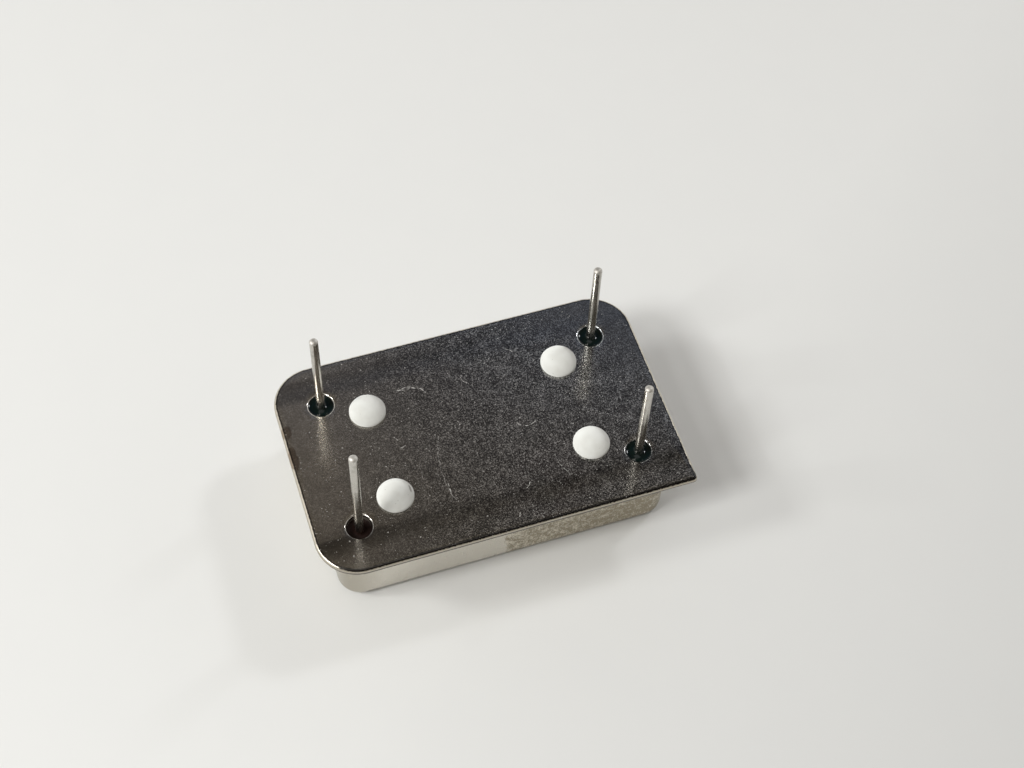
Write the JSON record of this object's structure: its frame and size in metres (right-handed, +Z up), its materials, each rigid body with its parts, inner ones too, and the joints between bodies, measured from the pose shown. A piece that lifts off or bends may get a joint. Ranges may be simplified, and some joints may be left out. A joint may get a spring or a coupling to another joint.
{
  "type": "crystal oscillator",
  "caption": "Metal-can crystal oscillator for a dual-in-line footprint, lying pins up, with glass-sealed pins, white standoff beads and a square index corner.",
  "frame": {"origin": "on the bench, under the middle of the pin grid, in the plane of the can's outer face", "axes": "+Z up along the pins, +X along the long side from pin 7 to pin 1, +Y across from pin 1 to pin 14"},
  "size_m": [0.02, 0.0126, 0.0119],
  "materials": {
    "header_nickel": "satin nickel plate over steel, fine etched grain",
    "can_nickel": "smooth nickel plate over drawn steel, stained in places",
    "pin_nickel": "drawn wire, nickel plated",
    "seal_glass": "fused sealing glass, near black green, glossy",
    "braze": "dark brown braze at the bottom of the hole",
    "standoff_white": "matt white fired bead",
    "alumina": "matt white alumina",
    "solder": "satin solder",
    "quartz": "polished quartz with evaporated metal electrodes",
    "clip_metal": "thin spring strip",
    "silver_adhesive": "cured silver-filled adhesive",
    "silicon": "diced silicon, mirror-like face",
    "bond_gold": "fine gold wire",
    "capacitor_ceramic": "tan multilayer ceramic"
  },
  "bodies": {
    "root": {"adhesive_left": "silver_adhesive", "adhesive_right": "silver_adhesive", "blank_clip_left": "clip_metal", "blank_clip_right": "clip_metal", "bond_wires": "bond_gold", "bypass_capacitor": "capacitor_ceramic", "can": "can_nickel", "capacitor_terminals": "solder", "glass_seal_1": "seal_glass", "glass_seal_14": "seal_glass", "glass_seal_8": "seal_glass", "ground_braze_7": "braze", "header": "header_nickel", "oscillator_chip": "silicon", "pin_1": "pin_nickel", "pin_14": "pin_nickel", "pin_7": "pin_nickel", "pin_8": "pin_nickel", "pin_solder_1": "solder", "pin_solder_14": "solder", "pin_solder_7": "solder", "pin_solder_8": "solder", "quartz_blank": "quartz", "standoff_1": "standoff_white", "standoff_14": "standoff_white", "standoff_7": "standoff_white", "standoff_8": "standoff_white", "substrate": "alumina"}
  },
  "joints": []
}
